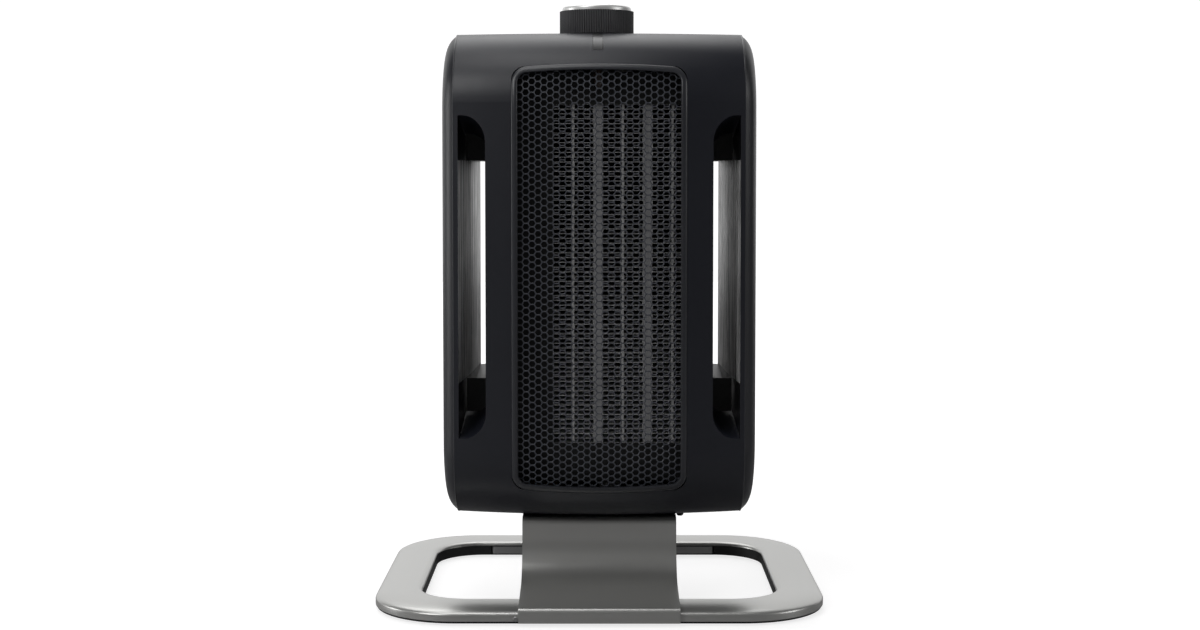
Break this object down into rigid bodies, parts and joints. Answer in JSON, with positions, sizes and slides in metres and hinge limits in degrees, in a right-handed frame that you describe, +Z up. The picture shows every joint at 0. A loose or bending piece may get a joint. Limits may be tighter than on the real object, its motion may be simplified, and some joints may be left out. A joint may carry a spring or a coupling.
{
  "type": "fan heater",
  "caption": "Upright ceramic fan heater with a bowed housing, honeycomb front grille, side hand slots and top knob, on a bent metal strap and ring base.",
  "frame": {"origin": "centre of the footprint on the plane the rubber feet stand on", "axes": "+Z up, +X to the right seen from the front, -Y towards the front grille"},
  "size_m": [0.254, 0.209, 0.3416],
  "materials": {
    "housing_plastic": "moulded blue-black satin plastic",
    "grille_plastic": "fine moulded black plastic",
    "stand_steel": "satin silver-grey lacquered steel sheet",
    "plain_steel": "zinc-plated steel",
    "skirt_plastic": "black moulded plastic",
    "rubber": "black rubber",
    "knob_plastic": "dark grey ribbed plastic",
    "cap_metal": "satin aluminium",
    "lens": "smoked clear plastic",
    "lamp": "neon lamp glass",
    "element_aluminium": "plain aluminium",
    "frame_plastic": "heat-resistant black moulding",
    "duct_plastic": "black moulding",
    "motor_steel": "laminated electrical steel",
    "winding": "taped copper winding",
    "brass": "sintered bronze",
    "terminal_plastic": "off-white moulding"
  },
  "bodies": {
    "housing": {"base_ring": "stand_steel", "base_skirt": "skirt_plastic", "ballast_bar": "plain_steel", "rubber_feet": "rubber", "base_screws": "plain_steel", "stand_strap": "stand_steel", "strap_rivet": "plain_steel", "strap_gasket": "rubber", "clamp_plate": "plain_steel", "stand_screws": "plain_steel", "front_shell": "housing_plastic", "rear_shell": "housing_plastic", "shell_screws": "plain_steel", "left_side_cover": "housing_plastic", "right_side_cover": "housing_plastic", "underside_bumper": "rubber", "grille_bezel": "housing_plastic", "grille_mesh": "grille_plastic", "intake_grille": "grille_plastic", "cable_gland": "skirt_plastic", "heater_frame": "frame_plastic", "frame_screws": "plain_steel", "heating_rods": "element_aluminium", "electrode_plates": "element_aluminium", "fin_packs": "element_aluminium", "thermal_cutout": "terminal_plastic", "air_scroll": "duct_plastic", "top_bush": "brass", "motor_stator": "motor_steel", "motor_coil": "winding", "bearing_bridges": "plain_steel", "motor_screws": "plain_steel", "selector_switch": "terminal_plastic", "switch_nut": "plain_steel", "pilot_lens": "lens", "pilot_lamp": "lamp", "tilt_switch_case": "terminal_plastic", "terminal_block": "terminal_plastic"},
    "knob": {"control_knob": "knob_plastic", "knob_cap": "cap_metal", "knob_shaft": "plain_steel"},
    "fan": {"impeller": "duct_plastic", "motor_shaft": "plain_steel", "motor_rotor": "motor_steel"},
    "tilt_weight": {"tilt_pendulum": "plain_steel"}
  },
  "joints": [
    {"name": "knob_turn", "type": "hinge", "parent": "housing", "child": "knob", "pos_m": [-0.0015, -0.0145, 0.33], "axis": [0, 0, 1], "range_deg": [-135, 0]},
    {"name": "fan_spin", "type": "hinge", "parent": "housing", "child": "fan", "pos_m": [0.006, 0.0055, 0.184], "axis": [0, 0, 1], "continuous": true},
    {"name": "tilt_swing", "type": "hinge", "parent": "housing", "child": "tilt_weight", "pos_m": [0.048, -0.0145, 0.07], "axis": [1, 0, 0], "range_deg": [-20, 20]}
  ]
}
